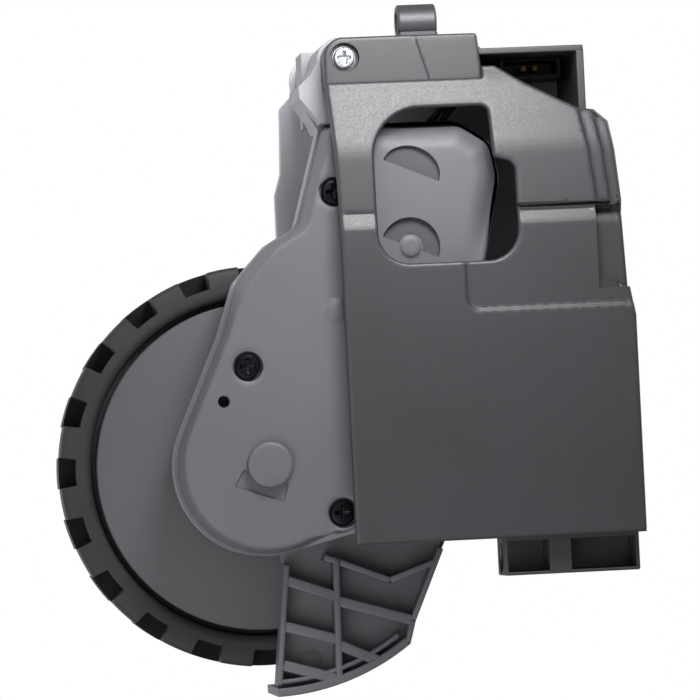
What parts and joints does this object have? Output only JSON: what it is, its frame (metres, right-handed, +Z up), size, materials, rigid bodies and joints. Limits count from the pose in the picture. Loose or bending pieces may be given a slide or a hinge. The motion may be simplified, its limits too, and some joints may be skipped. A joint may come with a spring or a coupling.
{
  "type": "robot vacuum wheel module",
  "caption": "Sprung drive wheel module of a robot vacuum: moulded housing with mounting lugs, swing arm with motor gearbox, tyred wheel and guard.",
  "frame": {"origin": "middle of the front mounting lug's bore", "axes": "+Z up, away from the floor and along both lug bores; +X from the front lug to the wheel; +Y across the wheel from the gearbox cover to the far cover"},
  "size_m": [0.1199, 0.0555, 0.1006],
  "materials": {
    "housing_plastic": "satin moulded",
    "arm_plastic": "satin moulded",
    "tyre_rubber": "matt moulded",
    "black_steel": "blackened",
    "bright_steel": "drawn and ground",
    "bronze": "turned",
    "gear_plastic": "natural moulded",
    "dark_plastic": "moulded",
    "lead_cover": "smooth"
  },
  "bodies": {
    "housing": {"housing": "housing_plastic", "far_cover": "housing_plastic", "far_cover_screws": "black_steel", "hinge_pin": "bright_steel", "hinge_screw": "bright_steel", "drop_spring": "bright_steel", "switch_body": "dark_plastic", "lead_connector": "gear_plastic", "connector_pins": "bronze", "motor_leads": "lead_cover"},
    "arm": {"gearbox_case": "arm_plastic", "gearbox_cover": "arm_plastic", "cover_screws": "black_steel", "tyre_guard": "arm_plastic", "motor_can": "bright_steel", "motor_end_cap": "dark_plastic", "motor_terminals": "bronze", "axle_bushes": "bronze", "gear_pins": "bright_steel", "hinge_bushes": "bronze"},
    "wheel": {"tyre": "tyre_rubber", "wheel_hub": "arm_plastic", "wheel_axle": "bright_steel", "hub_screw": "black_steel", "output_gear": "gear_plastic"},
    "gear_one": {"first_gear": "gear_plastic"},
    "gear_two": {"second_gear": "gear_plastic"},
    "gear_three": {"third_gear": "gear_plastic"},
    "motor_rotor": {"motor_shaft": "bright_steel", "motor_pinion": "bronze"},
    "drop_plunger": {"switch_plunger": "gear_plastic"}
  },
  "joints": [
    {"name": "arm_swing", "type": "hinge", "parent": "housing", "child": "arm", "pos_m": [0.00605, 0, -0.0132], "axis": [0, -1, 0], "range_deg": [0, 16], "stiffness_Nm_per_rad": 0.8, "springref_deg": -28.65, "deforming": ["drop_spring", "motor_leads"]},
    {"name": "wheel_spin", "type": "hinge", "parent": "arm", "child": "wheel", "pos_m": [0.0761, 0, -0.0294], "axis": [0, 1, 0], "continuous": true},
    {"name": "gear_three_spin", "type": "hinge", "parent": "arm", "child": "gear_three", "pos_m": [0.06422, 0, -0.01752], "axis": [0, 1, 0], "continuous": true},
    {"name": "gear_two_spin", "type": "hinge", "parent": "arm", "child": "gear_two", "pos_m": [0.04976, 0, -0.01129], "axis": [0, 1, 0], "continuous": true},
    {"name": "gear_one_spin", "type": "hinge", "parent": "arm", "child": "gear_one", "pos_m": [0.0394, 0, -0.0031], "axis": [0, 1, 0], "continuous": true},
    {"name": "motor_spin", "type": "hinge", "parent": "arm", "child": "motor_rotor", "pos_m": [0.02942, 0, 0.00014], "axis": [0, 1, 0], "continuous": true},
    {"name": "plunger_slide", "type": "slide", "parent": "housing", "child": "drop_plunger", "axis": [-1, 0, 0], "range_m": [0, 0.0023]}
  ],
  "couplings": [
    {"joint": "gear_three_spin", "follows": "wheel_spin", "ratio": -2.5},
    {"joint": "gear_two_spin", "follows": "wheel_spin", "ratio": 7.7273},
    {"joint": "gear_one_spin", "follows": "wheel_spin", "ratio": -26.273},
    {"joint": "motor_spin", "follows": "wheel_spin", "ratio": 84.073},
    {"joint": "plunger_slide", "follows": "arm_swing", "m_per_rad": 0.0077}
  ]
}
